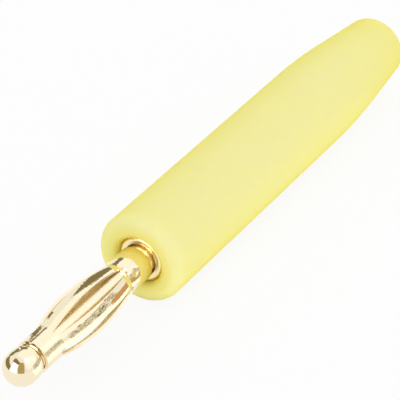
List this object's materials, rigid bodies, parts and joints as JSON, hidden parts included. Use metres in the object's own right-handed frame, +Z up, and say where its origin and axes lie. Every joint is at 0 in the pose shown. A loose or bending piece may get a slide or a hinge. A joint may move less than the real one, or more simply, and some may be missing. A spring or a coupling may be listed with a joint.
{
  "type": "banana plug",
  "caption": "Sprung banana plug for a 4 mm socket: ball-tipped gold-plated contact with a bulging strip basket, in a soft tapered yellow insulating sleeve.",
  "frame": {"origin": "centre of the sleeve's front face, on the plug's axis, where the socket's face seats", "axes": "+X along the contact towards its ball tip, +Z up towards the cut-open side of the solder cup"},
  "size_m": [0.0618, 0.0082, 0.0082],
  "materials": {
    "soft_pvc": "soft, semi-matt, pale yellow",
    "gold_plated_brass": "polished gold plate",
    "gold_plated_spring": "polished gold plate"
  },
  "bodies": {
    "contact": {"contact_body": "gold_plated_brass", "spring_basket": "gold_plated_spring"},
    "sleeve": {"insulating_sleeve": "soft_pvc"}
  },
  "joints": [
    {"name": "sleeve_slide", "type": "slide", "parent": "contact", "child": "sleeve", "axis": [-1, 0, 0], "range_m": [0, 0.026]}
  ]
}
